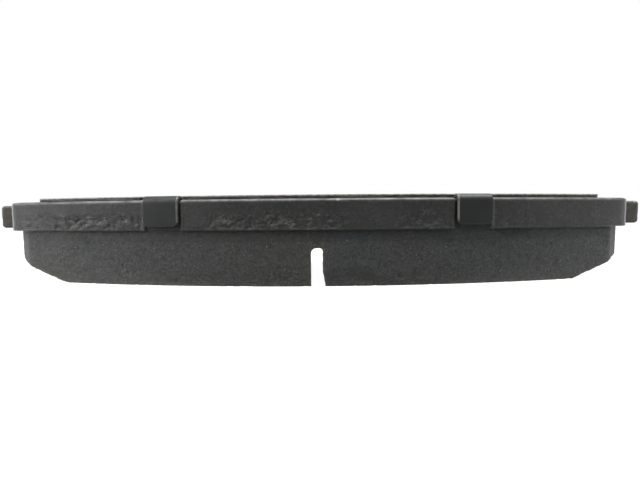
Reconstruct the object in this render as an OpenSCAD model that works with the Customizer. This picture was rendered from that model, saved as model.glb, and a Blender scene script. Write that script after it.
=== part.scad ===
// Disc brake pad: steel backing plate, moulded lining and clip-on laminated shim.
// Millimetres, +Z from the friction face to the shim, -Y towards the outer arc.
// The origin is at the middle of the pad's outline, on the friction face.
// Depths are measured along +Y from the crown of the plate's outer arc.

/* [Backing plate] */
// Radius of the outer arc
arc_r = 165; // [158:1:175]
// Overall height, from the crown of the outer arc to the feet
pad_h = 66; // [65:0.5:70]
// Plate thickness
plate_t = 6; // [5:0.25:7]
// Half width at which the outer arc ends and the shoulder begins
shoulder_x = 65.5; // [64:0.1:66]
// Half width between the plate's sides
side_x = 77; // [76:0.5:79]
// Depth at which the shoulder meets the side
shoulder_depth = 33.5; // [32:0.5:35]
// Radius on both corners of the shoulder
shoulder_r = 7; // [5:0.5:8]
// Radius of the inner, hollowed edge
hollow_r = 125; // [115:1:140]
// Depth of the inner edge at the middle of the pad
hollow_depth = 51; // [49:0.5:53]

/* [Ears] */
// Half width at the ear's end
ear_x = 87.2; // [84:0.2:90]
// Depth at which the ear starts
ear_depth = 43; // [42:0.5:45]
// Height of the ear
ear_h = 13; // [10:0.5:14]
// Radius on the ear's corners and at its roots
ear_r = 1.5; // [0.5:0.25:2]

/* [Feet] */
// Half width below the ears
waist_x = 75.5; // [74:0.5:77]
// Height of the side below the ear
waist_h = 4.5; // [4:0.25:5]
// Half width at which the foot's flat begins
foot_x = 65; // [64:0.5:68]
// Radius on the foot's outer corner
foot_r = 3.5; // [2:0.5:4]

/* [Moulding holes] */
// Diameter of the holes that the underlayer fills
plug_d = 9.5; // [6:0.5:12]
// Radius of the circle on which the holes lie
plug_circle_r = 140; // [138:1:142]
// Angle of the inner pair of holes off the middle
plug_inner_angle = 7; // [6:0.5:9]
// Angle of the outer pair of holes off the middle
plug_outer_angle = 18.5; // [17:0.5:20]
// Distance that the plugs stop short of the plate's back
plug_recess = 0.4; // [0.2:0.1:1]

/* [Lining] */
// Thickness of the adhesive film
film_t = 0.15; // [0.1:0.05:0.3]
// Thickness of the underlayer
underlayer_t = 2; // [1.5:0.25:2.5]
// Thickness of the friction block
block_t = 8.5; // [8:0.25:12]
// Set-back of the lining from the plate's outer arc
lining_inset = 0.8; // [0.5:0.1:1.5]
// Set-back of the lining from the plate's inner edge
lining_back_inset = 2; // [1:0.5:3]
// Half width at which the lining's arc ends
lining_x = 61.8; // [60:0.1:61.8]
// Half width at the lining's widest point
lining_side_x = 66.4; // [64:0.1:66.4]
// Depth of the lining's widest point
lining_side_depth = 18.5; // [18.5:0.1:20]
// Half width at the lining's foot
lining_foot_x = 60.2; // [59:0.2:62]
// Depth of the lining's foot
lining_foot_depth = 62.5; // [61:0.5:63]
// Radius on the lining's corners
lining_r = 3; // [2:0.5:5]

/* [Slot and ramps] */
// Width of the slot
slot_w = 2.3; // [1.5:0.1:3.5]
// Depth of the slot, from the friction face to its round roof
slot_depth = 7.25; // [5:0.25:7.5]
// Half width at which the end ramps begin
ramp_x = 52.2; // [48:0.2:58]
// Angle of the end ramps
ramp_angle = 18.5; // [10:0.5:20]

/* [Shim] */
// Thickness of the rubber coat
coat_t = 0.1; // [0.05:0.05:0.15]
// Thickness of the inner steel sheet
core_t = 0.25; // [0.2:0.05:0.4]
// Thickness of the damping layer
damping_t = 0.1; // [0.05:0.05:0.15]
// Thickness of the outer steel sheet
cover_t = 0.3; // [0.2:0.05:0.4]
// Set-back of the shim from the plate's outer and inner edges
shim_inset = 1.2; // [0.8:0.1:2]
// Half width of the shim
shim_x = 59.5; // [55:0.5:60]
// Depth of the shim's lower corners
shim_foot_depth = 60; // [59:0.5:61]
// Radius on the shim's corners
shim_r = 3; // [1:0.5:5]

/* [Tabs] */
// Width of a tab
tab_w = 7.2; // [5:0.1:7.3]
// Distance of the outer tabs from the middle, along X
tab_x = 30.1; // [24:0.1:40]
// Distance of the inner tabs from the middle, along X
back_tab_x = 30; // [20:0.5:40]
// How far the tabs reach below the plate's back
tab_drop = 5.2; // [3:0.1:5.5]
// Gap between a tab and the floor of its notch
tab_gap = 0.2; // [0.15:0.05:0.4]
// Inner radius of a tab's bend
bend_r = 0.55; // [0.4:0.05:0.6]
// Radius on the corners of a tab's tip
tab_r = 1; // [0.5:0.1:2]
// Radius of the reliefs beside a tab's root
relief_r = 0.8; // [0.5:0.1:1.2]

/* [Tab notches in the plate] */
// Width of a notch
notch_w = 7.8; // [7.8:0.1:9]
// Depth of a notch
notch_depth = 0.6; // [0.4:0.05:0.8]
// Bevel along the notch's upper edge
notch_bevel = 0.6; // [0.5:0.05:0.8]
// Distance of the outer notches from the middle, along X
notch_x = 30.1; // [24:0.1:40]

/* [Hidden] */
$fn = 256;

// Straight steps in which a corner's radius is drawn
round_steps = 8;
// How far a cutting solid runs past the face that it cuts
cut_margin = 1;

// Heights of the layers above the friction face
film_z = block_t + underlayer_t;
plate_z = film_z + film_t;
back_z = plate_z + plate_t;

// Heights of the shim's layers above the plate's back
core_low = coat_t;
damping_low = core_low + core_t;
cover_low = damping_low + damping_t;
cover_high = cover_low + cover_t;

// Centres of the two arcs, as distances along Y
arc_y = arc_r - pad_h / 2;
hollow_y = hollow_depth + hollow_r - pad_h / 2;

// Distances of a tab's faces and bend from the plate's edge
tab_inner = tab_gap - notch_depth;
bend_x = tab_inner - bend_r;
// Length of the flat root of a tab, inside the plate's edge
tab_root = 4;

// Half outlines, as [half width, depth, corner radius], from the crown to the feet
plate_half = [
    [0, tangent_crown(shoulder_x, arc_r), 0],
    [shoulder_x, arc_depth(shoulder_x, arc_r), shoulder_r],
    [side_x, shoulder_depth, shoulder_r],
    [side_x, ear_depth, ear_r],
    [ear_x, ear_depth, ear_r],
    [ear_x, ear_depth + ear_h, ear_r],
    [waist_x, ear_depth + ear_h, ear_r],
    [waist_x, ear_depth + ear_h + waist_h, foot_r],
    [foot_x, pad_h, foot_r],
    [0, pad_h, 0]
];
lining_half = [
    [0, tangent_crown(lining_x, arc_r - lining_inset), 0],
    [lining_x, arc_depth(lining_x, arc_r - lining_inset), lining_r],
    [lining_side_x, lining_side_depth, lining_r],
    [lining_foot_x, lining_foot_depth, lining_r],
    [0, lining_foot_depth, 0]
];
shim_half = [
    [0, tangent_crown(shim_x, arc_r - shim_inset), 0],
    [shim_x, arc_depth(shim_x, arc_r - shim_inset), shim_r],
    [shim_x, shim_foot_depth, shim_r],
    [0, shim_foot_depth, 0]
];

// Depth at half width x of an arc of radius r about the outer arc's centre
function arc_depth(x, r) = arc_r - sqrt(r * r - x * x);

// Depth at which the tangent to that arc at x crosses the middle of the pad
function tangent_crown(x, r) = arc_depth(x, r) - x * x / sqrt(r * r - x * x);

function unit(v) = v / norm(v);

function point(p) = [p[0], p[1]];

// Points that round the corner at b, between the straight runs from a and to c
function corner(a, b, c, r) =
    let (
        u = unit(a - b),
        v = unit(c - b),
        half = acos(u * v) / 2,
        centre = b + unit(u + v) * r / sin(half),
        first = b + u * r / tan(half) - centre,
        last = b + v * r / tan(half) - centre,
        start = atan2(first[1], first[0]),
        sweep = (atan2(last[1], last[0]) - start + 540) % 360 - 180
    )
    [for (i = [0:round_steps]) centre + r * [cos(start + sweep * i / round_steps),
                                            sin(start + sweep * i / round_steps)]];

// A closed path of [x, y, corner radius] as points
function rounded(path) =
    let (n = len(path))
    [for (i = [0:n - 1])
        let (p = path[i])
        each p[2] > 0
            ? corner(point(path[(i + n - 1) % n]), point(p), point(path[(i + 1) % n]), p[2])
            : [point(p)]];

// A half outline, followed by its mirror image on the other side
function both_sides(half) =
    concat(half, [for (i = [len(half) - 1:-1:0])
        if (half[i][0] > 0) [-half[i][0], half[i][1], half[i][2]]]);

// The pad's outline between its outer arc and its hollowed inner edge
module pad_shape(half, front_r, back_r) {
    difference() {
        intersection() {
            translate([0, -pad_h / 2])
                polygon(rounded(both_sides(half)));
            translate([0, arc_y])
                circle(r = front_r);
        }
        translate([0, hollow_y])
            circle(r = back_r);
    }
}

module lining_shape() {
    pad_shape(lining_half, arc_r - lining_inset, hollow_r + lining_back_inset);
}

// The four moulding plugs, from one height to another
module plugs(low, high) {
    for (side = [-1, 1], angle = [plug_inner_angle, plug_outer_angle])
        translate([0, arc_y, low])
            rotate([0, 0, side * angle])
                translate([0, -plug_circle_r, 0])
                    cylinder(d = plug_d, h = high - low);
}

// The radial slot, with its round roof
module slot() {
    wall_h = slot_depth - slot_w / 2;
    translate([0, 0, wall_h])
        rotate([90, 0, 0])
            cylinder(d = slot_w, h = 2 * pad_h, center = true);
    translate([-slot_w / 2, -pad_h, -cut_margin])
        cube([slot_w, 2 * pad_h, wall_h + cut_margin]);
}

// The material that the end ramps take away
module ramps() {
    run = side_x - ramp_x;
    for (side = [0, 1])
        mirror([side, 0, 0])
            rotate([90, 0, 0])
                linear_extrude(2 * pad_h, center = true)
                    polygon([
                        [ramp_x - cut_margin / tan(ramp_angle), -cut_margin],
                        [ramp_x + run, -cut_margin],
                        [ramp_x + run, run * tan(ramp_angle)]
                    ]);
}

// Places its children on the plate's outer and inner edges, with +X pointing off the edge
module on_edges(outer_x, inner_x) {
    for (side = [-1, 1]) {
        translate([0, arc_y, 0])
            rotate([0, 0, side * asin(outer_x / arc_r)])
                translate([0, -arc_r, 0])
                    rotate([0, 0, -90])
                        children();
        translate([0, hollow_y, 0])
            rotate([0, 0, side * asin(inner_x / hollow_r)])
                translate([0, -hollow_r, 0])
                    rotate([0, 0, 90])
                        children();
    }
}

// Side view of a tab, for the layer between two heights above the plate's back
module tab_profile(low, high) {
    translate([-tab_root, low])
        square([tab_root + bend_x, high - low]);
    translate([bend_x, -bend_r])
        intersection() {
            difference() {
                circle(r = bend_r + high);
                circle(r = bend_r + low);
            }
            square(2 * (bend_r + high));
        }
    translate([tab_inner + low, -tab_drop])
        square([high - low, tab_drop - bend_r]);
}

module tab(low, high) {
    intersection() {
        rotate([90, 0, 0])
            linear_extrude(2 * tab_w, center = true)
                tab_profile(low, high);
        rotate([90, 0, 90])
            linear_extrude(4 * tab_root, center = true)
                polygon(rounded([
                    [-tab_w / 2, tab_root, 0],
                    [-tab_w / 2, -tab_drop, tab_r],
                    [tab_w / 2, -tab_drop, tab_r],
                    [tab_w / 2, tab_root, 0]
                ]));
    }
}

// Round reliefs beside the tabs' roots
module reliefs() {
    on_edges(tab_x, back_tab_x)
        for (edge = [-1, 1])
            translate([-shim_inset, edge * (tab_w / 2 + 0.75 * relief_r)])
                circle(r = relief_r);
}

// One layer of the shim, between two heights above the plate's back
module shim_layer(low, high) {
    translate([0, 0, back_z + low])
        linear_extrude(high - low)
            difference() {
                pad_shape(shim_half, arc_r - shim_inset, hollow_r + shim_inset);
                reliefs();
            }
    translate([0, 0, back_z])
        on_edges(tab_x, back_tab_x)
            tab(low, high);
}

// The shallow bevelled notches in which the tabs lie
module notches() {
    translate([0, 0, back_z])
        on_edges(notch_x, back_tab_x)
            rotate([90, 0, 0])
                linear_extrude(notch_w, center = true)
                    polygon([
                        [-notch_depth, -plate_t - cut_margin],
                        [cut_margin, -plate_t - cut_margin],
                        [cut_margin, cut_margin],
                        [-notch_depth - notch_bevel - cut_margin, cut_margin],
                        [-notch_depth, -notch_bevel]
                    ]);
}

module backing_plate() {
    color("#3a3c3c")
        difference() {
            translate([0, 0, plate_z])
                linear_extrude(plate_t)
                    pad_shape(plate_half, arc_r, hollow_r);
            plugs(plate_z - cut_margin, back_z + cut_margin);
            notches();
        }
}

module bonding_film() {
    color("#231f1a")
        difference() {
            translate([0, 0, film_z])
                linear_extrude(film_t)
                    lining_shape();
            plugs(film_z - cut_margin, plate_z + cut_margin);
        }
}

module underlayer() {
    color("#454545") {
        translate([0, 0, block_t])
            linear_extrude(underlayer_t)
                lining_shape();
        plugs(film_z, back_z - plug_recess);
    }
}

module friction_block() {
    color("#4b4b49")
        difference() {
            linear_extrude(block_t)
                lining_shape();
            slot();
            ramps();
        }
}

module shim_coat() {
    color("#1e1e1e")
        shim_layer(0, core_low);
}

module shim_core() {
    color("#6e7072")
        shim_layer(core_low, damping_low);
}

module shim_damping_layer() {
    color("#151515")
        shim_layer(damping_low, cover_low);
}

module shim_cover() {
    color("#34363a")
        shim_layer(cover_low, cover_high);
}

backing_plate();
bonding_film();
underlayer();
friction_block();
shim_coat();
shim_core();
shim_damping_layer();
shim_cover();
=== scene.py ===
"""Looks of the disc brake pad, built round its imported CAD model. Shapes are worked out in millimetres."""
import math

import bmesh
import bpy
import numpy as np
from mathutils import Matrix, Vector, geometry


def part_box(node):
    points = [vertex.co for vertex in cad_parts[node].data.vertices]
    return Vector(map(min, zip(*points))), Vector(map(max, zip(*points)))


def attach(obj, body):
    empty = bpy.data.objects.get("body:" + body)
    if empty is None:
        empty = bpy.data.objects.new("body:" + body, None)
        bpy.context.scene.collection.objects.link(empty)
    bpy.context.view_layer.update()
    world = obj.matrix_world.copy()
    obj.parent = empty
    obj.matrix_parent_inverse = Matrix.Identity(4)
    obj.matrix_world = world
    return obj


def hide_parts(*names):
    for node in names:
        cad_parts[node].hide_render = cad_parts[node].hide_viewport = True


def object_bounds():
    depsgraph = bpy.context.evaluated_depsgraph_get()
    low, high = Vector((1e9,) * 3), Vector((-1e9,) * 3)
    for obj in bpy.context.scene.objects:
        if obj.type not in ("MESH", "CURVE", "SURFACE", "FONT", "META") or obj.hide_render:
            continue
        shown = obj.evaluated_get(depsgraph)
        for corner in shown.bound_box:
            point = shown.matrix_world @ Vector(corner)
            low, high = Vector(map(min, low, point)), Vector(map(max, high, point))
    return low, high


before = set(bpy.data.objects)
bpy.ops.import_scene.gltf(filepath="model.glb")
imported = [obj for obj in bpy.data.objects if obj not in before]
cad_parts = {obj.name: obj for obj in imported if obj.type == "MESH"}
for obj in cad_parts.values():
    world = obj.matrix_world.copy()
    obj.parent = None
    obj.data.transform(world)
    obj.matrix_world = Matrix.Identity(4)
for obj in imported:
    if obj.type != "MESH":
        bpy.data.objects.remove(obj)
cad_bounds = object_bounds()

MM = 0.001


def levels(node):
    """Lowest and highest Z of a CAD node, in millimetres."""
    low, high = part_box(node)
    return low.z / MM, high.z / MM


# Sizes that the CAD model gives
LENGTH_HALF = cad_bounds[1].x / MM
CROWN_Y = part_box("backing_plate")[0].y / MM
FEET_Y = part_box("backing_plate")[1].y / MM
PLATE_LOW, PLATE_TOP = levels("backing_plate")
FILM_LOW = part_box("bonding_film")[0].z / MM
UNDER_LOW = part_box("underlayer")[0].z / MM
PLUG_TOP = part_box("underlayer")[1].z / MM
SHIM_LOW = PLATE_TOP
SHIM_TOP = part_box("shim_cover")[1].z / MM
TAB_TIP_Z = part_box("shim_cover")[0].z / MM

# Driving sizes of the plate
ARC_R = 165.0
ARC_Y = CROWN_Y + ARC_R
HOLLOW_R = 125.0
HOLLOW_Y = CROWN_Y + 51.0 + HOLLOW_R
SHOULDER_X = 65.5
SIDE_X = 77.0
SHOULDER_Y = CROWN_Y + 33.5
SHOULDER_R = 7.0
EAR_Y = CROWN_Y + 43.0
EAR_H = 13.0
EAR_R = 1.5
WAIST_X = 75.5
WAIST_H = 4.5
FOOT_X = 65.0
FOOT_R = 3.5

# Driving sizes of the lining
LINING_INSET = 0.8
LINING_BACK_INSET = 2.0
LINING_X = 61.8
LINING_SIDE_X = 66.4
LINING_SIDE_Y = CROWN_Y + 18.5
LINING_FOOT_X = 60.2
LINING_FOOT_Y = CROWN_Y + 62.5
LINING_R = 3.0
DRAFT = math.tan(math.radians(1.0))
PLUG_R = 4.75
PLUG_CIRCLE_R = 140.0
PLUG_ANGLES = (7.0, 18.5)

# Slot and ramps
SLOT_LEFT = 1.3
SLOT_RIGHT = 0.9
SLOT_ROOF = 7.25
SLOT_LEFT_R = 1.05
SLOT_RIGHT_R = 0.6
RAMP_X = 52.2
RAMP_SLOPE = math.tan(math.radians(18.5))

# Shim and its tabs
SHIM_INSET = 1.2
SHIM_X = 59.5
SHIM_FOOT_Y = CROWN_Y + 60.0
SHIM_R = 3.0
TAB_HALF = 3.6
TAB_X = 30.1
BACK_TAB_X = 30.0
TAB_R = 1.0
RELIEF_R = 0.8
RELIEF_OFF = 0.75
BEND_R = 0.55
NOTCH_HALF = 3.9
NOTCH_SNUG = 3.68
NOTCH_DEPTH = 0.6
NOTCH_BEVEL = 0.6
TAB_GAP = 0.2
BEND_N = TAB_GAP - NOTCH_DEPTH - BEND_R
BEND_MID_R = BEND_R + (SHIM_TOP - SHIM_LOW) / 2
BEND_LENGTH = BEND_MID_R * math.pi / 2
TAB_TIP_N = BEND_N + BEND_LENGTH + (SHIM_LOW - BEND_R - TAB_TIP_Z)

# Spacing of the points along the outlines of plate, lining and shim, and while an outline is cut
EDGE = 0.22
FINE = 0.3
SHEET = 0.2
CUT = 0.05


# Noise

def lattice(cell, seed):
    """A fixed random number from -1 to 1 for each whole-numbered cell."""
    mask = 0xFFFFFFFF
    h = (cell[..., 0] * 374761393 + cell[..., 1] * 668265263 + cell[..., 2] * 1103515245) & mask
    h = (h + seed * 1274126177) & mask
    h = ((h ^ (h >> 13)) * 1274126177) & mask
    h = ((h ^ (h >> 15)) * 668265263) & mask
    return (h ^ (h >> 16)) / (mask / 2) - 1


def noise(points, size, seed=0):
    """Smooth noise from -1 to 1 with features of that size, in millimetres."""
    q = np.asarray(points, float) / np.asarray(size, float)
    cell = np.floor(q).astype(np.int64)
    f = q - cell
    f = f * f * f * (f * (f * 6 - 15) + 10)
    total = np.zeros(len(q))
    for c in np.array(list(np.ndindex(2, 2, 2))):
        weight = np.prod(np.where(c == 1, f, 1 - f), axis=1)
        total += weight * lattice(cell + c, seed)
    return total


def layered(points, size, octaves, seed=0):
    """Noise of several sizes, each half as large and half as strong as the one before."""
    size = np.asarray(size, float)
    total = sum(noise(points, size / 2 ** k, seed + k) / 2 ** k for k in range(octaves))
    return total / sum(0.5 ** k for k in range(octaves))


def smooth(value, low, high):
    """From 0 at low to 1 at high, with soft ends."""
    t = np.clip((value - low) / (high - low), 0, 1)
    return t * t * (3 - 2 * t)


# Outlines

def corner(a, b, c, r):
    """Points that round the corner at b, between the straight runs from a and to c."""
    a, b, c = (np.array(p[:2], float) for p in (a, b, c))
    u = (a - b) / np.linalg.norm(a - b)
    v = (c - b) / np.linalg.norm(c - b)
    half = math.acos(np.clip(u @ v, -1, 1)) / 2
    centre = b + (u + v) / np.linalg.norm(u + v) * r / math.sin(half)
    first = b + u * r / math.tan(half) - centre
    last = b + v * r / math.tan(half) - centre
    start = math.atan2(first[1], first[0])
    sweep = (math.atan2(last[1], last[0]) - start + 3 * math.pi) % (2 * math.pi) - math.pi
    angles = start + sweep * np.linspace(0, 1, 13)
    return [centre + r * np.array([math.cos(t), math.sin(t)]) for t in angles]


def rounded(path):
    """An open path of (x, y) or (x, y, radius) as an array of points."""
    points = []
    for i, p in enumerate(path):
        if len(p) > 2 and p[2] > 0:
            points += corner(path[i - 1], p, path[i + 1], p[2])
        else:
            points.append(np.array(p[:2], float))
    return np.array(points)


def spaced(path, step):
    """The same open path in equal steps, with both its ends kept."""
    run = np.r_[0, np.cumsum(np.linalg.norm(np.diff(path, axis=0), axis=1))]
    count = max(2, int(round(run[-1] / step)) + 1)
    at = np.linspace(0, run[-1], count)
    return np.c_[np.interp(at, run, path[:, 0]), np.interp(at, run, path[:, 1])]


def on_circle(x, centre, radius):
    """The point at x of the lower side of a circle about (0, centre)."""
    return (x, centre - math.sqrt(radius ** 2 - x ** 2))


def hollowed(path, radius):
    """The path, kept in front of the hollowed inner edge."""
    path = spaced(path, CUT)
    edge = HOLLOW_Y - np.sqrt(np.maximum(radius ** 2 - path[:, 0] ** 2, 0))
    back = path[:, 1] > 0
    path[back, 1] = np.minimum(path[back, 1], edge[back])
    return path


def mirrored(half):
    """A closed outline from its right-hand half, which starts and ends at the middle."""
    return np.r_[half, half[-2:0:-1] * [-1, 1]]


def outward(loop):
    """Unit normals that point off a closed outline."""
    t = np.roll(loop, -1, axis=0) - np.roll(loop, 1, axis=0)
    n = np.c_[t[:, 1], -t[:, 0]]
    return n / np.linalg.norm(n, axis=1)[:, None]


def front_arc(radius, x_end, step=1.0):
    """Points of the outer arc, from the middle out to x_end, which is short of the next corner."""
    return [on_circle(x, ARC_Y, radius) for x in np.arange(0, x_end, step)]


def plate_half():
    """Right-hand half of the plate's outline."""
    path = front_arc(ARC_R, SHOULDER_X - 3) + [
        (*on_circle(SHOULDER_X, ARC_Y, ARC_R), SHOULDER_R),
        (SIDE_X, SHOULDER_Y, SHOULDER_R),
        (SIDE_X, EAR_Y, EAR_R),
        (LENGTH_HALF, EAR_Y, EAR_R),
        (LENGTH_HALF, EAR_Y + EAR_H, EAR_R),
        (WAIST_X, EAR_Y + EAR_H, EAR_R),
        (WAIST_X, EAR_Y + EAR_H + WAIST_H, FOOT_R),
        (FOOT_X, FEET_Y, FOOT_R),
        (0, FEET_Y),
    ]
    return spaced(hollowed(rounded(path), HOLLOW_R), EDGE)


def lining_half(start_x=0.0):
    """Right-hand half of the lining's outline, from start_x on its front to start_x on its back."""
    radius = ARC_R - LINING_INSET
    path = front_arc(radius, LINING_X - 2) + [
        (*on_circle(LINING_X, ARC_Y, radius), LINING_R),
        (LINING_SIDE_X, LINING_SIDE_Y, LINING_R),
        (LINING_FOOT_X, LINING_FOOT_Y, LINING_R),
        (0, LINING_FOOT_Y),
    ]
    path = hollowed(rounded(path), HOLLOW_R + LINING_BACK_INSET)
    if start_x > 0:
        path = path[path[:, 0] > start_x]
        ends = [on_circle(start_x, ARC_Y, radius),
                on_circle(start_x, HOLLOW_Y, HOLLOW_R + LINING_BACK_INSET)]
        path = np.r_[[ends[0]], path, [ends[1]]]
    return spaced(path, FINE)


def tab_places():
    """Origin and tangent of each place on the plate's edges where a tab hooks over."""
    places = []
    for side in (1, -1):
        for x, y, r, way in ((TAB_X, ARC_Y, ARC_R, 1), (BACK_TAB_X, HOLLOW_Y, HOLLOW_R, -1)):
            a = side * math.asin(x / r)
            origin = np.array([r * math.sin(a), y - r * math.cos(a)])
            places.append((origin, way * np.array([math.cos(a), math.sin(a)])))
    return places


def local(points, place):
    """Points as (distance off the plate's edge, distance along it) at one of those places."""
    origin, tangent = place
    d = points - origin
    return d @ np.array([tangent[1], -tangent[0]]), d @ tangent


def from_local(off, along, place):
    """The reverse of local, for one point."""
    origin, tangent = place
    return tuple(origin + off * np.array([tangent[1], -tangent[0]]) + along * tangent)


# Meshes

class Skin:
    """The points, faces, marks and sharp edges of one piece, in millimetres."""

    def __init__(self):
        self.points = np.zeros((0, 3))
        self.faces = []
        self.marks = {}
        self.sharp = []

    def add(self, points, **marks):
        """Adds points, each with its marks from 0 to 1, and returns their numbers."""
        points = np.asarray(points, float)
        start, count = len(self.points), len(points)
        self.points = np.r_[self.points, points]
        for name in set(marks) | set(self.marks):
            held = self.marks.get(name, np.zeros(start))
            self.marks[name] = np.r_[held, np.broadcast_to(marks.get(name, 0.0), count)]
        return np.arange(start, start + count)

    def bridge(self, a, b, closed=True):
        """Faces between two rows of the same length."""
        if closed:
            a, b = np.r_[a, a[:1]], np.r_[b, b[:1]]
        quads = np.c_[a[:-1], a[1:], b[1:], b[:-1]]
        self.faces += [tuple(q) for q in quads.tolist()]

    def stack(self, rows, closed=True):
        """Faces between each row and the next one."""
        for a, b in zip(rows, rows[1:]):
            self.bridge(a, b, closed)

    def tube(self, centre, column):
        """Rings round a centre, at each height and radius of the column. Returns the first and last ring."""
        rings = [self.add(lifted(circle(centre, r), z)) for z, r in column]
        self.stack(rings)
        return rings[0], rings[-1]

    def crease(self, row, closed=True):
        """Keeps the shading sharp along a row."""
        row = np.r_[row, row[:1]] if closed else row
        self.sharp.append(np.sort(np.c_[row[:-1], row[1:]], axis=1))

    def fill(self, loops, inner=None, height=None):
        """Triangles between closed rows, the first one outermost, through the inner points."""
        own = np.concatenate(loops)
        outlines = [self.points[loop][:, :2] for loop in loops]
        plane = np.concatenate(outlines)
        if inner is not None and len(inner):
            own = np.r_[own, self.add(np.c_[inner, height(inner)])]
            plane = np.r_[plane, inner]
        self.cover(own, plane, outlines)

    def cover(self, own, plane, outlines):
        """Triangles between the numbered points, as they join up in the plane."""
        self.faces += [tuple(t) for t in own[triangles(plane, outlines)].tolist()]

    def piece(self, name, body, slot, material, *nodes):
        """Makes the mesh object, which rides on a body and stands for CAD nodes."""
        mesh = bpy.data.meshes.new(name)
        mesh.from_pydata((self.points * MM).tolist(), [], self.faces)
        for mark, values in self.marks.items():
            mesh.attributes.new(mark, "FLOAT", "POINT").data.foreach_set("value", values)
        edges = np.zeros(len(mesh.edges) * 2, int)
        mesh.edges.foreach_get("vertices", edges)
        keys = np.sort(edges.reshape(-1, 2), axis=1) @ [len(self.points), 1]
        wanted = np.concatenate(self.sharp) @ [len(self.points), 1] if self.sharp else []
        sharp = mesh.attributes.new("sharp_edge", "BOOLEAN", "EDGE")
        sharp.data.foreach_set("value", np.isin(keys, wanted))
        shell = bmesh.new()
        shell.from_mesh(mesh)
        bmesh.ops.recalc_face_normals(shell, faces=shell.faces[:])
        shell.to_mesh(mesh)
        shell.free()
        mesh.polygons.foreach_set("use_smooth", [True] * len(mesh.polygons))
        mesh.materials.append(material)
        made = bpy.data.objects.new(name, mesh)
        bpy.context.scene.collection.objects.link(made)
        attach(made, body)
        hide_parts(*nodes)
        return made


def inside(points, loops):
    """True for each point that lies inside an odd number of the closed outlines."""
    odd = np.zeros(len(points), bool)
    for loop in loops:
        for (x0, y0), (x1, y1) in zip(loop, np.roll(loop, -1, axis=0)):
            if y0 != y1:
                crosses = (points[:, 1] < y0) != (points[:, 1] < y1)
                odd ^= crosses & (points[:, 0] < x0 + (points[:, 1] - y0) * (x1 - x0) / (y1 - y0))
    return odd


def triangles(plane, outlines):
    """Triangles that fill the outlines, as point numbers. The outlines' points come first in the plane."""
    edges, start = [], 0
    for loop in outlines:
        n = len(loop)
        edges += [(start + i, start + (i + 1) % n) for i in range(n)]
        start += n
    found = geometry.delaunay_2d_cdt([Vector(p) for p in plane], edges, [], 1, 1e-7)
    coords = np.array([tuple(c) for c in found[0]])
    tris = np.array([t for t in found[2] if len(t) == 3])
    origin = np.array([o[0] if o else -1 for o in found[3]])
    keep = inside(coords[tris].mean(axis=1), outlines) & (origin[tris] >= 0).all(axis=1)
    return origin[tris[keep]]


def grid_inside(loop, step, margin, seed=1):
    """Slightly uneven points inside a closed outline, no nearer to it than margin."""
    low, high = loop.min(axis=0), loop.max(axis=0)
    xs, ys = np.meshgrid(np.arange(low[0], high[0], step), np.arange(low[1], high[1], step))
    points = np.c_[xs.ravel(), ys.ravel()]
    flat = np.c_[points, np.zeros(len(points))]
    points += 0.25 * step * np.c_[noise(flat, step, seed), noise(flat, step, seed + 7)]
    points = points[inside(points, [loop])]
    near = np.full(len(points), np.inf)
    for p in loop[::2]:
        near = np.minimum(near, np.linalg.norm(points - p, axis=1))
    return points[near > margin]


def circle(centre, radius, count=64):
    """Points of a circle."""
    angles = np.linspace(0, 2 * math.pi, count, endpoint=False)
    return centre + radius * np.c_[np.cos(angles), np.sin(angles)]


def plug_centres():
    """Centres of the plate's moulding holes."""
    return [np.array([side * PLUG_CIRCLE_R * math.sin(math.radians(a)),
                      ARC_Y - PLUG_CIRCLE_R * math.cos(math.radians(a))])
            for side in (-1, 1) for a in PLUG_ANGLES]


def lifted(plane, z):
    """Points of the plane, raised to z."""
    return np.c_[plane, np.broadcast_to(z, len(plane))]


# The backing plate

# Patches of the stamped edge that tore most: middle, half width and strength
TORN_PATCHES = ((-58.0, 7.0, 0.45), (-50.5, 4.5, 1.0), (-45.0, 4.5, 0.7), (-37.5, 5.0, 0.8),
                (-8.0, 16.0, 0.85), (21.0, 9.0, 0.6), (40.0, 5.0, 0.35))
ROLL_OUT = 0.75
ROLL_DOWN = 0.5
BURR_H = 0.45
LEDGE = 0.035
RIM_BACK = 0.2
# Y of the painted highlight on the rims at the plate's ends
RIM_HIGHLIGHT_Y = CROWN_Y + 15.0
EAR_ROUND = 0.9
TORN_TOP = PLATE_TOP - 2.4
CREASE_SIZE = (1.3, 1.3, 0.95)
CREASE_DEPTH = 0.21
PIT_SIZE = (0.9, 0.9, 0.6)
PIT_DEPTH = 0.11


def torn_strength(x):
    """How strongly the lower part of the plate's edge tore, at each x."""
    strength = np.full(len(x), 0.2)
    for middle, half, value in TORN_PATCHES:
        strength = np.maximum(strength, value * (1 - smooth(np.abs(x - middle), 0.6 * half, half)))
    return strength


def torn_edge(points):
    """Inset of the stamped edge: smooth where it sheared, with scalloped nodules where it tore."""
    x, z = points[:, 0], points[:, 2]
    line = TORN_TOP + 0.6 * noise(np.c_[x, points[:, 1], 0 * x], 4.0, 3)
    depth = smooth(line - z, 0.0, 1.5) * torn_strength(x)
    bent = points + 0.5 * np.c_[noise(points, 1.8, 13), noise(points, 1.8, 14), noise(points, 1.3, 15)]
    crease = 1 - np.minimum(1, 2.2 * np.abs(noise(bent, CREASE_SIZE, 11)))
    pits = smooth(noise(points, PIT_SIZE, 17), 0.2, 0.6)
    waves = 0.01 * (1 + noise(points, 9.0, 23))
    fine = 0.011 * (1 + layered(points, 0.7, 2, 29))
    return waves + fine + depth * (0.03 + CREASE_DEPTH * crease ** 2 + PIT_DEPTH * pits)


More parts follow.
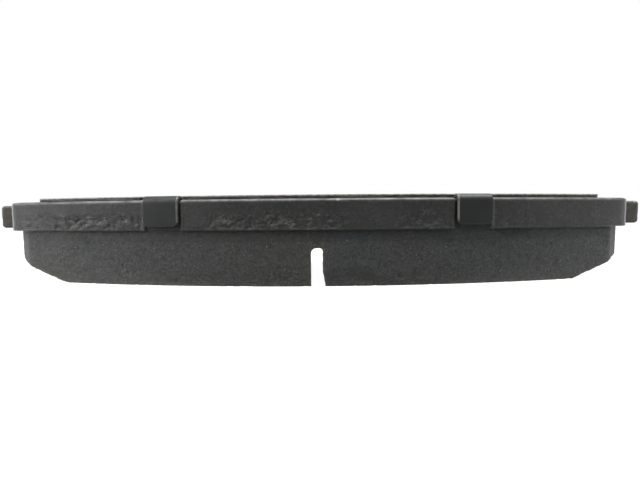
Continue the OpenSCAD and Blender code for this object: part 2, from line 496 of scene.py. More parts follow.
def plate_rows():
    """Height and inset of each row of the plate's edge. The first and last lie on its flat faces."""
    roll = [(PLATE_TOP - ROLL_DOWN * (1 - math.cos(t)), ROLL_OUT * (1 - math.sin(t)))
            for t in np.linspace(0, math.pi / 2, 7)]
    high, low = PLATE_TOP - ROLL_DOWN - 0.2, PLATE_LOW + BURR_H + 0.1
    wall = [(z, LEDGE * smooth(PLATE_TOP - 2.5 - z, 0, 1.5)) for z in np.linspace(high, low, 26)]
    burr = [(PLATE_LOW + BURR_H, LEDGE), (PLATE_LOW + 0.36, 0.02), (PLATE_LOW + 0.24, 0.0),
            (PLATE_LOW + 0.14, 0.0), (PLATE_LOW + 0.06, 0.04), (PLATE_LOW, 0.12)]
    return [(PLATE_TOP, ROLL_OUT + RIM_BACK)] + roll + wall + burr + [(PLATE_LOW, 0.12 + RIM_BACK)]


def ear_round(z):
    """Inset that rounds the ears towards the plate's two faces."""
    near = np.clip(EAR_ROUND - min(PLATE_TOP - z, z - PLATE_LOW), 0, EAR_ROUND)
    return EAR_ROUND - math.sqrt(EAR_ROUND ** 2 - near ** 2)


def notch_marks(loop):
    """For points of the plate's outline: in a tab's notch, and on the corner beside it, where a painted
    highlight goes.
    """
    notch, corners = np.zeros((2, len(loop)))
    for place in tab_places():
        off, along = local(loop, place)
        outer_side = along * np.sign(place[0][0] * place[1][0]) > 0
        half = np.where(outer_side, NOTCH_SNUG, NOTCH_HALF)
        mask = 1 - smooth(np.abs(along), half - 0.12, half + 0.12)
        notch = np.maximum(notch, mask * (np.abs(off) < 2))
        # Painted highlight: a thin band on the plate's edge at the corner beside each notch.
        painted_highlight = outer_side * np.exp(-((np.abs(along) - half - 0.2) / 0.16) ** 2) * (np.abs(off) < 2)
        corners = np.maximum(corners, painted_highlight)
    return notch, corners


def plate_wall(skin, loop):
    """The plate's edge with its marks. Returns its first row and its last, on the two flat faces."""
    normal = outward(loop)
    turn = np.linalg.norm(np.roll(normal, -6, axis=0) - np.roll(normal, 6, axis=0), axis=1)
    tight = smooth(turn, 0.2, 0.9)
    notch, corners = notch_marks(loop)
    ear = smooth(np.abs(loop[:, 0]), SIDE_X - 0.3, SIDE_X + 0.5)
    ear_end = smooth(np.abs(loop[:, 0]), LENGTH_HALF - 1.6, LENGTH_HALF - 0.3)
    # The worn mark carries painted highlight: a pale band on the rim at each end of the plate, and a weaker
    # one on the corners beside the notches.
    worn = np.exp(-((loop[:, 1] - RIM_HIGHLIGHT_Y) / 0.75) ** 2) * (np.abs(loop[:, 0]) > FOOT_X - 2)
    profile = plate_rows()
    rows = []
    for z, inset in profile:
        here = lifted(loop, z)
        roll = smooth(z, PLATE_TOP - ROLL_DOWN, PLATE_TOP)
        low = smooth(PLATE_LOW + BURR_H + 0.1 - z, 0, 0.3)
        rough = torn_edge(here) * (1 - notch) * (1 - roll) * (1 - 0.6 * low) + 0.03 * notch
        bevel = notch * (NOTCH_DEPTH + max(0.0, z - (PLATE_TOP - NOTCH_BEVEL)))
        burr = low * 0.06 * (1 + layered(here, 2.5, 3, 41))
        shaped = np.maximum(inset * (1 + 0.3 * tight), (0.3 * ear + 0.7 * ear_end) * ear_round(z))
        flat = loop - normal * (shaped + rough + bevel + burr)[:, None]
        wall = float((z, inset) not in (profile[0], profile[-1]))
        edge = wall * math.exp(-((z - PLATE_TOP + 0.18) / 0.3) ** 2)
        # Painted highlight: a band just above the plate's lower face, where the burr catches light.
        lip = wall * math.exp(-((z - PLATE_LOW - 0.28) / 0.2) ** 2) * (1 - notch)
        torn = wall * smooth(PLATE_TOP - 1.8 - z, 0, 1.5) * torn_strength(loop[:, 0]) * (1 - notch)
        rows.append(skin.add(lifted(flat, z), edge=edge, lip=lip, torn=torn, ear=ear,
                             worn=wall * np.maximum(worn, 0.3 * corners)))
    skin.stack(rows)
    skin.crease(rows[-2])
    return rows[0], rows[-1]


def build_plate(material):
    """The stamped plate: rolled upper edge, torn lower edge, tab notches and moulding holes."""
    skin = Skin()
    rims = [plate_wall(skin, mirrored(plate_half()))]
    column = [(PLATE_TOP, PLUG_R + 0.35), (PLATE_TOP - 0.12, PLUG_R + 0.1), (PLATE_TOP - 0.4, PLUG_R),
              (PLATE_LOW + 0.2, PLUG_R), (PLATE_LOW, PLUG_R + 0.1)]
    for centre in plug_centres():
        rims.append(skin.tube(centre, column))
        skin.crease(rims[-1][0])
        skin.crease(rims[-1][1])
    for face in zip(*rims):
        skin.fill(face)
    return skin.piece("plate", "pad", "plate_paint", material, "backing_plate")


# The lining

WAVE_DEPTH = 0.01
GRAIN_DEPTH = 0.018
GRAIN_PIT_DEPTH = 0.1
CHIP_DEPTH = 0.13
CHIP_LIFT = 0.035
CHIP_REACH = 0.2
SLOT_WEAR = 0.45
SLOT_WEAR_H = 3.4
SLOT_ROWS = 120
FACE_STEP = 1.1


def moulded(points):
    """Inset of the lining's moulded walls: draft, faint waves, grains and a few pits."""
    draft = (PLATE_LOW - points[:, 2]) * DRAFT
    waves = WAVE_DEPTH * (1 + layered(points, (6.0, 6.0, 3.0), 2, 51))
    block = smooth(UNDER_LOW - points[:, 2], -0.1, 0.5)
    grains = (0.005 + GRAIN_DEPTH * block) * (1 + layered(points, 0.7, 2, 57))
    pits = GRAIN_PIT_DEPTH * block * smooth(noise(points, (1.1, 1.1, 0.8), 61), 0.6, 0.9)
    return draft + waves + grains + pits


def build_film(material):
    """The cured adhesive, with its uneven edge a little back from the lining's."""
    skin = Skin()
    loop = mirrored(lining_half())
    normal = outward(loop)
    rows = []
    thickness = PLATE_LOW - FILM_LOW
    for share in (0.0, 0.25, 0.5, 0.75, 1.0):
        here = lifted(loop, FILM_LOW + share * thickness)
        back = 0.05 + 0.04 * layered(here, 2.0, 3, 71) + 0.03 * (2 * share - 1) ** 2
        rows.append(skin.add(lifted(loop - normal * back[:, None], here[:, 2])))
    skin.stack(rows)
    column = [(FILM_LOW, PLUG_R + 0.06), (PLATE_LOW, PLUG_R + 0.06)]
    rims = [(rows[0], rows[-1])] + [skin.tube(centre, column) for centre in plug_centres()]
    for face in zip(*rims):
        for rim in face:
            skin.crease(rim)
        skin.fill(face)
    return skin.piece("film", "pad", "adhesive", material, "bonding_film")


def plug_height(p):
    """Height of the plugs' uneven tops."""
    return PLUG_TOP - 0.05 - 0.05 * layered(lifted(p, 0), 1.5, 2, 77)


def build_underlayer(material):
    """The moulded underlayer, whose plugs fill the plate's moulding holes."""
    skin = Skin()
    loop = mirrored(lining_half())
    normal = outward(loop)
    rows = []
    for z in np.linspace(UNDER_LOW, FILM_LOW, 9):
        here = lifted(loop, z)
        rim = 0.05 * smooth(z, FILM_LOW - 0.15, FILM_LOW)
        flat = loop - normal * (moulded(here) + rim)[:, None]
        rows.append(skin.add(lifted(flat, z)))
    skin.stack(rows)
    skin.crease(rows[0])
    skin.crease(rows[-1])
    tops = [rows[-1]]
    radius = PLUG_R - 0.03
    column = [(FILM_LOW, radius), (PLUG_TOP - 0.3, radius), (PLUG_TOP - 0.08, radius - 0.08),
              (PLUG_TOP, radius - 0.35)]
    for centre in plug_centres():
        foot, top = skin.tube(centre, column)
        skin.crease(foot)
        skin.fill([top], grid_inside(skin.points[top][:, :2], 0.9, 0.5, 5), plug_height)
        tops.append(foot)
    skin.fill(tops)
    skin.fill([rows[0]])
    return skin.piece("underlayer_moulding", "pad", "underlayer", material, "underlayer")


def ramp_height(x):
    """Height of the friction face above the floor, with its end ramps."""
    return np.maximum(0.0, (np.abs(x) - RAMP_X) * RAMP_SLOPE)


def slot_arch():
    """Points of the slot's roof between its walls: a wide curve on the left, a tight one on the right."""
    wide, tight = SLOT_LEFT_R, SLOT_RIGHT_R
    left = [(-SLOT_LEFT + wide * (1 - math.cos(t)), SLOT_ROOF - wide * (1 - math.sin(t)))
            for t in np.linspace(0, math.pi / 2, 8)[1:]]
    right = [(SLOT_RIGHT - tight * (1 - math.sin(t)), SLOT_ROOF - tight * (1 - math.cos(t)))
             for t in np.linspace(0, math.pi / 2, 6)[:-1]]
    middle_x = (left[-1][0] + right[0][0]) / 2
    return np.array(left + [(middle_x, SLOT_ROOF)] + right)


def slot_flare(z):
    """How far the slot's right-hand wall is worn back at its front, at each height."""
    return SLOT_WEAR * (1 - smooth(z, 0.0, SLOT_WEAR_H)) + 0.03 * np.sin(z * 4.0)


def chipped(points, above):
    """Inset and lift of the lining's lower edge where small chips broke off."""
    chips = smooth(layered(points, 1.2, 2, 83), 0.12, 0.5)
    near = np.exp(-np.maximum(above, 0) / CHIP_REACH)
    return near * (0.01 + CHIP_DEPTH * chips), near * CHIP_LIFT * chips


def block_outline():
    """The block's outline round both its halves and across the slot, with the height of the slot's roof
    or spring line at each point, and the numbers of its right, back, left and front parts."""
    right = lining_half(SLOT_RIGHT)
    left = lining_half(SLOT_LEFT)[::-1] * [-1, 1]
    arch = slot_arch()
    front = np.array([on_circle(x, ARC_Y, ARC_R - LINING_INSET) for x in arch[:, 0]])
    back = np.array([on_circle(x, HOLLOW_Y, HOLLOW_R + LINING_BACK_INSET) for x in arch[::-1, 0]])
    roof = np.r_[np.full(len(right), SLOT_ROOF - SLOT_RIGHT_R), arch[::-1, 1],
                 np.full(len(left), SLOT_ROOF - SLOT_LEFT_R), arch[:, 1]]
    ends = np.cumsum([0, len(right), len(back), len(left), len(front)])
    return np.r_[right, back, left, front], roof, [np.arange(a, b) for a, b in zip(ends, ends[1:])]


def block_row(skin, loop, normal, z, columns):
    """One row of the block's walls at heights z, for those columns of its outline."""
    base = loop[columns]
    here = np.c_[base, z]
    above = z - ramp_height(base[:, 0])
    chip, lift = chipped(here, above)
    flat = base - normal[columns] * (moulded(here) + chip)[:, None]
    at_slot = (base[:, 0] >= SLOT_RIGHT) & (base[:, 1] < 0)
    flat[:, 0] += at_slot * slot_flare(z) * np.exp(-(base[:, 0] - SLOT_RIGHT) / 0.8)
    off_slot = np.minimum(np.abs(base[:, 0] - SLOT_RIGHT), np.abs(base[:, 0] + SLOT_LEFT))
    near_slot = np.exp(-off_slot / 0.35)
    flat[:, 1] -= normal[columns][:, 1] * 0.1 * near_slot
    rim = np.exp(-np.maximum(above, 0) / 0.35)
    return skin.add(np.c_[flat, z + lift], rim=np.maximum(rim, 0.7 * near_slot))


def lower_wall(skin, loop, normal, roof, first, columns):
    """Rows from the slot's spring line down to the friction face. The first one is there already."""
    bottom = ramp_height(loop[columns, 0])
    rows = [first[columns]]
    for share in (*np.linspace(0, 0.94, 20)[1:], 0.965, 0.983, 0.994, 1.0):
        z = roof[columns] + (bottom - roof[columns]) * share
        rows.append(block_row(skin, loop, normal, z, columns))
    skin.stack(rows, closed=False)
    return np.array(rows)


def slot_walls(skin, front, back):
    """Rows of the slot's inner surface, from its front profile to its back one."""
    start, end = skin.points[front], skin.points[back]
    rows = [front]
    for k in range(1, SLOT_ROWS):
        t = k / SLOT_ROWS
        points = start + (end - start) * t
        worn = min(1.0, 6.0 * t, 6.0 * (1 - t))
        side = np.sign(points[:, 0])
        points[:, 0] += side * worn * 0.006 * noise(points, 4.0, 91)
        rows.append(skin.add(points, rim=0.4 * math.exp(-k / 2), slot=1.0))
    rows.append(back)
    skin.stack(rows, closed=False)
    skin.crease(front, closed=False)
    skin.crease(back, closed=False)
    return np.array(rows)


def face_height(p):
    """Height of the friction face and its ramps, with their grain."""
    return ramp_height(p[:, 0]) + 0.012 * (1 + layered(lifted(p, 0), 1.3, 2, 97))


def friction_face(skin, rim, side):
    """The friction face on one side of the slot, inside its rim, with points along the ramp's crease."""
    outline = skin.points[rim][:, :2]
    inner = grid_inside(outline, FACE_STEP, 0.5)
    inner = inner[np.abs(np.abs(inner[:, 0]) - RAMP_X) > 0.45]
    crease_y = np.arange(CROWN_Y + 10, LINING_FOOT_Y - 2, 0.6)
    crease = np.c_[np.full(len(crease_y), side * RAMP_X), crease_y]
    crease = crease[inside(crease, [outline])]
    skin.fill([rim], np.r_[inner, crease[1:-1]], face_height)
    skin.crease(rim)


def build_friction(material):
    """The friction block, with its round-roofed slot, end ramps and chipped lower edge."""
    skin = Skin()
    loop, roof, (on_right, on_back, on_left, on_front) = block_outline()
    normal = outward(loop)
    every = np.arange(len(loop))
    upper = [block_row(skin, loop, normal, UNDER_LOW + (roof - UNDER_LOW) * share, every)
             for share in np.linspace(0, 1, 10)]
    skin.stack(upper)
    right = lower_wall(skin, loop, normal, roof, upper[-1], on_right)
    left = lower_wall(skin, loop, normal, roof, upper[-1], on_left)
    front = np.r_[left[::-1, -1], upper[-1][on_front], right[:, 0]]
    back = np.r_[left[::-1, 0], upper[-1][on_back][::-1], right[:, -1]]
    slot = slot_walls(skin, front, back)
    friction_face(skin, np.r_[right[-1], slot[1:-1, -1][::-1]], 1)
    friction_face(skin, np.r_[left[-1], slot[1:-1, 0]], -1)
    skin.fill([upper[0]])
    skin.crease(upper[0])
    return skin.piece("friction_moulding", "pad", "friction", material, "friction_block")


# The shim

def tab_path(place):
    """One tab of the flat blank with the round bites beside it, in the outline's own direction."""
    middle = -TAB_HALF - RELIEF_OFF * RELIEF_R
    bite = [(-SHIM_INSET - RELIEF_R * math.sin(a), middle - RELIEF_R * math.cos(a))
            for a in np.linspace(0, math.acos(-RELIEF_OFF), 9)]
    side = bite + [(TAB_TIP_N, -TAB_HALF, TAB_R)]
    other = [(p[0], -p[1], *p[2:]) for p in side[::-1]]
    return [(*from_local(p[0], p[1], place), *p[2:]) for p in side + other]


def blank_half():
    """Right-hand half of the shim's flat blank, with its tabs not yet bent."""
    outer, inner = tab_places()[:2]
    radius = ARC_R - SHIM_INSET
    outer_tab, inner_tab = tab_path(outer), tab_path(inner)
    arc = front_arc(radius, SHIM_X - 3.2)
    before = [p for p in arc if p[0] < outer_tab[0][0] - 0.1]
    after = [p for p in arc if p[0] > outer_tab[-1][0] + 0.1]
    foot_end = math.sqrt((HOLLOW_R + SHIM_INSET) ** 2 - (HOLLOW_Y - SHIM_FOOT_Y) ** 2)
    hollow = [on_circle(x, HOLLOW_Y, HOLLOW_R + SHIM_INSET) for x in np.arange(foot_end - 0.5, 0, -1.0)]
    hollow_before = [p for p in hollow if p[0] > inner_tab[0][0] + 0.1]
    hollow_after = [p for p in hollow if p[0] < inner_tab[-1][0] - 0.1]
    path = before + outer_tab + after + [
        (*on_circle(SHIM_X, ARC_Y, radius), SHIM_R),
        (SHIM_X, SHIM_FOOT_Y, SHIM_R),
        (foot_end, SHIM_FOOT_Y),
    ] + hollow_before + inner_tab + hollow_after + [on_circle(0, HOLLOW_Y, HOLLOW_R + SHIM_INSET)]
    return spaced(rounded(path), SHEET)


def folded(plane, height):
    """Points of the flat blank, at heights above the plate's back, with the tabs bent down."""
    height = np.broadcast_to(height, len(plane)).astype(float)
    points = np.c_[plane, SHIM_LOW + height]
    for place in tab_places():
        off, along = local(plane, place)
        bent = (off > BEND_N) & (off < TAB_TIP_N + 1) & (np.abs(along) < TAB_HALF + 0.5)
        angle = np.clip((off - BEND_N) / BEND_LENGTH, 0, 1) * math.pi / 2
        radius = BEND_R + height
        new_off = BEND_N + radius * np.sin(angle)
        new_z = SHIM_LOW - BEND_R + radius * np.cos(angle) - np.maximum(off - BEND_N - BEND_LENGTH, 0)
        normal = np.array([place[1][1], -place[1][0]])
        flat = place[0] + new_off[:, None] * normal + along[:, None] * place[1]
        points[bent] = np.c_[flat, new_z][bent]
    return points


def tab_grid():
    """Points of the blank inside the tabs, close together where they bend."""
    points = []
    offs = np.r_[BEND_N - 1.0, BEND_N - 0.4, BEND_N + BEND_LENGTH * np.linspace(0, 1, 9),
                 np.arange(BEND_N + BEND_LENGTH + 0.5, TAB_TIP_N - 0.3, 0.5)]
    for place in tab_places():
        for off in offs:
            points += [from_local(off, along, place) for along in np.linspace(-3.15, 3.15, 15)]
    return np.array(points)


def on_tabs(plane):
    """For points of the blank: on a tab, at its tip, on its side towards the middle, on its bend."""
    tab, tip, side, bend = np.zeros((4, len(plane)))
    for place in tab_places():
        off, along = local(plane, place)
        here = (off > BEND_N) & (off < TAB_TIP_N + 1) & (np.abs(along) < TAB_HALF + 0.5)
        tab[here] = 1
        middle = BEND_N + 0.45 * BEND_LENGTH
        bend = np.maximum(bend, here * np.exp(-((off - middle) / (0.4 * BEND_LENGTH)) ** 2))
        tip[here & (off > TAB_TIP_N - 0.7)] = 1
        inward = along * -np.sign(place[0][0] * place[1][0])
        side = np.maximum(side, here * smooth(inward, TAB_HALF - 0.5, TAB_HALF - 0.2))
    return tab, tip, side, bend


# Bevel along the edges of the shim's layers
FINE_RIM = 0.02
COVER_RIM = 0.04


def build_sheet(name, low, high, recess, wander, seed, slot, material, node, rim):
    """One layer of the shim between two heights, with its edge set back by recess and up to wander more."""
    skin = Skin()
    loop = mirrored(blank_half())
    normal = outward(loop)
    tab, tip, side, bend = on_tabs(loop)
    back = recess * (1 - 0.7 * tab) + wander * (1 + layered(lifted(loop, 0), 1.6, 3, seed)) / 2
    bevel = 1 + 2.5 * side * (rim == COVER_RIM)
    # Painted light and shade on the cut edges: the steel colour stays on each tab's side towards the middle
    # as a painted lit strip, and is dimmed on the tabs' other sides and tips as painted shade.
    bare = 1 - 0.85 * np.maximum(tip, tab * (1 - side))
    profile = [(low, recess + 0.3, 0.0), (low, rim, 1.0), (low + rim, 0.0, 1.0),
               ((low + high) / 2, 0.0, 1.0), (high - 1.5 * rim, 0.0, 1.0),
               (high - 0.4 * rim, 0.4 * rim * bevel, 1.0), (high, 1.5 * rim * bevel, 1.0),
               (high, 1.5 * rim * bevel + 0.14, 0.0)]
    planes, rows = [], []
    for height, inset, cut in profile:
        planes.append(loop - normal * (back + inset)[:, None])
        rows.append(skin.add(folded(planes[-1], height), cut=cut * bare, tab=tab, bend=bend))
    skin.stack(rows)
    fill_sheet(skin, planes[0], rows[0], low)
    fill_sheet(skin, planes[-1], rows[-1], high)
    return skin.piece(name, "shim", slot, material, node)


def fill_sheet(skin, plane, ring, height):
    """Fills one face of a layer: the triangles are found on the flat blank, then bent with it."""
    inner = tab_grid()
    inner = inner[inside(inner, [plane])]
    own = np.r_[ring, skin.add(folded(inner, height), bend=on_tabs(inner)[3])]
    skin.cover(own, np.r_[plane, inner], [plane])


# Materials

class Finish:
    """A procedural material, whose patterns are measured in millimetres."""

    def __init__(self, name):
        self.material = bpy.data.materials.new(name)
        self.material.use_nodes = True
        self.tree = self.material.node_tree
        self.shader = self.tree.nodes["Principled BSDF"]
        self.colour = None
        place = self.tree.nodes.new("ShaderNodeTexCoord").outputs["Object"]
        self.mm = self.vector("SCALE", place, scale=1 / MM)

    def put(self, socket, value):
        """Links a socket to another one, or sets its value."""
        if isinstance(value, bpy.types.NodeSocket):
            self.tree.links.new(value, socket)
        else:
            socket.default_value = value

    def vector(self, operation, a, b=None, scale=None):
        """A maths operation on vectors."""
        node = self.tree.nodes.new("ShaderNodeVectorMath")
        node.operation = operation
        self.put(node.inputs[0], a)
        if b is not None:
            self.put(node.inputs[1], b)
        if scale is not None:
            node.inputs["Scale"].default_value = scale
        return node.outputs[0]

    def combine(self, operation, a, b, clamp=False):
        """A maths operation on two patterns or numbers."""
        node = self.tree.nodes.new("ShaderNodeMath")
        node.operation = operation
        node.use_clamp = clamp
        self.put(node.inputs[0], a)
        self.put(node.inputs[1], b)
        return node.outputs[0]

    def times(self, a, b):
        """The product of two patterns."""
        return self.combine("MULTIPLY", a, b)

    def mark(self, name):
        """One of the marks that the mesh carries."""
        node = self.tree.nodes.new("ShaderNodeAttribute")
        node.attribute_name = name
        return node.outputs["Fac"]

    def cloud(self, size, detail=3.0, roughness=0.55, stretch=(1, 1, 1)):
        """Soft noise with features of that size."""
        node = self.tree.nodes.new("ShaderNodeTexNoise")
        self.put(node.inputs["Vector"], self.vector("DIVIDE", self.mm, stretch))
        node.inputs["Scale"].default_value = 1 / size
        node.inputs["Detail"].default_value = detail
        node.inputs["Roughness"].default_value = roughness
        return node.outputs[0]

    def cells(self, size, output="Distance"):
        """Grains of about that size."""
        node = self.tree.nodes.new("ShaderNodeTexVoronoi")
        self.put(node.inputs["Vector"], self.mm)
        node.inputs["Scale"].default_value = 1 / size
        return node.outputs[output]

    def ridge(self, size, stretch=(1, 1, 1)):
        """Distance of soft noise from its middle, so that 0 runs along thin winding lines."""
        off_middle = self.combine("SUBTRACT", self.cloud(size, 2.0, 0.5, stretch), 0.5)
        return self.combine("ABSOLUTE", off_middle, 0.0)

    def grain_tone(self, size):
        """A number from 0 to 1 that is the same all over each grain."""
        node = self.tree.nodes.new("ShaderNodeSeparateColor")
        self.put(node.inputs[0], self.cells(size, "Color"))
        return node.outputs[0]

    def span(self, value, low, high, to_low=0.0, to_high=1.0):
        """Maps low to high onto to_low to to_high, held between them."""
        node = self.tree.nodes.new("ShaderNodeMapRange")
        self.put(node.inputs["Value"], value)
        for name, number in (("From Min", low), ("From Max", high), ("To Min", to_low), ("To Max", to_high)):
            node.inputs[name].default_value = number
        return node.outputs[0]

    def coat(self, share, colour, under=None):
        """Lays a colour over the ones so far, by that share. The first one lies over a plain colour."""
        node = self.tree.nodes.new("ShaderNodeMix")
        node.data_type = "RGBA"
        self.put(node.inputs["Factor"], share)
        self.put(node.inputs[6], (*under, 1.0) if under else self.colour)
        node.inputs[7].default_value = (*colour, 1.0)
        self.colour = node.outputs[2]

    def bump(self, *layers):
        """Stacks height patterns, each with its depth in millimetres."""
        normal = None
        for height, depth in layers:
            node = self.tree.nodes.new("ShaderNodeBump")
            node.inputs["Strength"].default_value = 1.0
            node.inputs["Distance"].default_value = depth * MM
            self.put(node.inputs["Height"], height)
            if normal is not None:
                self.put(node.inputs["Normal"], normal)
            normal = node.outputs[0]
        self.put(self.shader.inputs["Normal"], normal)

    def done(self, roughness, **plain):
        """Joins the patterns to the shader and sets its plain values."""
        self.put(self.shader.inputs["Base Color"], self.colour)
        self.put(self.shader.inputs["Roughness"], roughness)
        for name, value in plain.items():
            self.shader.inputs[name.replace("_", " ")].default_value = value
        return self.material


def paint_finish():
    """Black plate paint: a painted highlight along its upper edge with chips of bare metal there, painted
    highlights on its end rims, notch corners and lower burr, dusty where the edge tore, browner on the ears.
    """
    f = Finish("plate_paint")
    f.coat(f.span(f.cloud(16.0), 0.35, 0.65), (0.027, 0.028, 0.027), under=(0.016, 0.017, 0.0165))
    mottle = f.span(f.cloud(0.45, 3.0, 0.65), 0.46, 0.68, 0.0, 0.6)
    f.coat(mottle, (0.048, 0.049, 0.045))
    dust = f.times(f.mark("torn"), f.span(f.cloud(0.7, 5.0, 0.7), 0.48, 0.7))
    f.coat(dust, (0.080, 0.080, 0.072))
    thread = f.span(f.ridge(1.2, (2.0, 2.0, 0.6)), 0.028, 0.008)
    thread = f.times(thread, f.span(f.cloud(2.6, 2.0), 0.50, 0.60))
    f.coat(f.times(thread, f.mark("torn")), (0.14, 0.143, 0.133))
    brown = f.times(f.mark("ear"), f.span(f.cloud(1.4, 4.0), 0.3, 0.65, 0.35, 1.0))
    f.coat(brown, (0.060, 0.054, 0.047))
    # Painted highlight: pale colour on the plate's end rims and beside the tab notches, from the worn mark.
    worn = f.times(f.mark("worn"), f.span(f.cloud(1.8, 4.0, 0.6), 0.3, 0.6, 0.4, 1.0))
    f.coat(worn, (0.55, 0.55, 0.53))
    # Painted highlight: lighter colour on the burr along the plate's lower face.
    lip = f.times(f.mark("lip"), f.span(f.cloud(2.2, 5.0, 0.7), 0.46, 0.62))
    f.coat(lip, (0.045, 0.044, 0.039))
    # Painted highlight: lighter colour along the rolled upper edge.
    painted_highlight = f.times(f.mark("edge"), f.span(f.cloud(2.5, 4.0, 0.6), 0.35, 0.65, 0.2, 0.9))
    f.coat(painted_highlight, (0.21, 0.22, 0.225))
    bare = f.times(f.mark("edge"), f.span(f.cells(1.3), 0.34, 0.24))
    patch = f.span(f.cloud(11.0, 2.0), 0.52, 0.6)
    bare = f.times(f.times(bare, patch), f.span(f.grain_tone(1.3), 0.45, 0.55))
    f.coat(bare, (0.36, 0.35, 0.30))
    roughness = f.span(f.cloud(3.5, 4.0), 0.3, 0.7, 0.42, 0.56)
    roughness = f.combine("ADD", roughness, f.times(f.mark("ear"), 0.15))
    roughness = f.combine("SUBTRACT", roughness, f.times(f.mark("edge"), 0.16))
    roughness = f.combine("ADD", roughness, f.times(dust, 0.2), clamp=True)
    f.bump((f.cloud(0.8, 2.0, 0.5), 0.05), (f.cloud(0.3, 3.0, 0.65), 0.05))
    return f.done(roughness, Specular_IOR_Level=0.35)


def lining_finish(name, coarse):
    """Moulded lining. coarse is 1 for the friction block's grain and less for the finer underlayer."""
    f = Finish(name)
    wall = f.mark("slot")
    off_wall = f.combine("SUBTRACT", 1.0, wall)
    f.coat(f.span(f.cloud(22.0, 2.0), 0.4, 0.62), (0.022, 0.025, 0.028), under=(0.020, 0.0205, 0.0195))
    tone = f.span(f.grain_tone(0.55), 0.0, 1.0, 0.0, 0.85 * coarse)
    f.coat(tone, (0.044, 0.044, 0.041))
    fine = f.span(f.cloud(0.32, 3.0, 0.65), 0.50, 0.68, 0.0, 0.95 * coarse)
    f.coat(fine, (0.076, 0.077, 0.074))
    pits = f.times(f.span(f.cells(0.9), 0.24, 0.08), f.span(f.grain_tone(0.9), 0.5, 0.55))
    f.coat(f.times(pits, 0.85 * coarse), (0.007, 0.007, 0.008))
    smear = f.span(f.cloud(5.0, 4.0, 0.6, (2.2, 2.2, 0.7)), 0.54, 0.70, 0.0, 0.6)
    f.coat(smear, (0.015, 0.016, 0.017))
    specks = f.times(f.span(f.cells(1.9), 0.08, 0.05), f.span(f.grain_tone(1.9), 0.72, 0.76))
    f.coat(f.times(specks, coarse), (0.20, 0.19, 0.15))
    rim = f.times(f.mark("rim"), f.span(f.cloud(1.6, 4.0, 0.65), 0.40, 0.64, 0.1, 0.95))
    f.coat(rim, (0.120, 0.106, 0.078))
    f.coat(wall, (0.07, 0.065, 0.055))
    roughness = f.span(f.cloud(0.8, 4.0), 0.3, 0.7, 0.55, 0.8)
    roughness = f.times(roughness, f.span(wall, 0.0, 1.0, 1.0, 0.08))
    relief = ((f.cloud(1.4, 3.0, 0.6), 0.07 * coarse), (f.cells(0.55), 0.05 * coarse),
              (f.cloud(0.25, 3.0, 0.7), 0.035))
    f.bump(*((f.times(height, off_wall), depth) for height, depth in relief))
    return f.done(roughness)


def adhesive_finish():
    """Dark cured adhesive with a dull shine."""
    f = Finish("adhesive")
    f.coat(f.span(f.cloud(1.8, 4.0), 0.35, 0.65), (0.046, 0.040, 0.032), under=(0.016, 0.014, 0.011))
    roughness = f.span(f.cloud(0.9, 3.0), 0.3, 0.7, 0.35, 0.6)
    f.bump((f.cloud(0.5, 3.0), 0.03),)
    return f.done(roughness)


def cover_finish():
    """The outer sheet's dark coat, smooth and semi-matte, over steel that shows along its cut edge."""
    f = Finish("shim_paint")
    f.coat(f.span(f.cloud(14.0), 0.35, 0.65), (0.014, 0.0145, 0.015), under=(0.010, 0.0103, 0.0105))
    scuffs = f.span(f.cloud(1.1, 5.0, 0.7, (5.0, 0.7, 1.0)), 0.6, 0.8, 0.0, 0.35)
    f.coat(scuffs, (0.040, 0.041, 0.042))
    # Painted highlight: the tabs' bends drawn lighter.
    bend_highlight = f.times(f.mark("bend"), f.span(f.cloud(0.9, 4.0), 0.3, 0.7, 0.6, 1.0))
    f.coat(bend_highlight, (0.042, 0.043, 0.042))
    steel = f.times(f.mark("cut"), f.span(f.cloud(0.7, 4.0, 0.6), 0.3, 0.62, 0.4, 1.0))
    # Painted shade: the cut steel is dimmed on the tabs.
    steel = f.times(steel, f.span(f.mark("tab"), 0.0, 1.0, 1.0, 0.35))
    f.coat(steel, (0.42, 0.41, 0.38))
    roughness = f.span(f.cloud(2.4, 4.0), 0.3, 0.7, 0.34, 0.42)
    roughness = f.combine("ADD", roughness, f.times(steel, 0.12), clamp=True)
    f.bump((f.cloud(0.9, 2.0, 0.5), 0.008), (f.cloud(0.18, 3.0, 0.6), 0.006))
    return f.done(roughness)


def core_finish():
    """The inner steel sheet, sheared along its edge."""
    f = Finish("shim_steel")
    lines = f.cloud(0.16, 3.0, 0.6, (1.0, 1.0, 5.0))
    f.coat(f.span(lines, 0.35, 0.65), (0.15, 0.143, 0.125), under=(0.060, 0.057, 0.050))
    stained = f.span(f.cloud(2.6, 4.0, 0.6), 0.40, 0.58, 0.1, 0.75)
    # Painted highlight: the stain is mostly left off the tabs, so the core's cut edge there reads as a lit
    # strip.
    stained = f.times(stained, f.span(f.mark("tab"), 0.0, 1.0, 1.0, 0.3))
    f.coat(stained, (0.018, 0.016, 0.013))
    roughness = f.span(f.cloud(1.2, 3.0), 0.3, 0.7, 0.40, 0.62)
    f.bump((lines, 0.012),)
    return f.done(roughness)


def rubber_finish(name, dark, light):
    """A thin black soft layer with a dusty bloom."""
    f = Finish(name)
    f.coat(f.span(f.cloud(1.2, 4.0, 0.6), 0.4, 0.7), light, under=dark)
    roughness = f.span(f.cloud(0.8, 3.0), 0.3, 0.7, 0.6, 0.85)
    f.bump((f.cloud(0.3, 3.0), 0.02),)
    return f.done(roughness)


# Stage

# The camera, in millimetres and degrees, from the crown of the pad's outer arc
CAMERA_SIDE = 0.907
CAMERA_BACK = 92.635
CAMERA_HEIGHT = 13.58
CAMERA_TURN = -0.295
CAMERA_TILT = -2.925
CAMERA_ROLL = -0.476
CAMERA_LENS = 28.0


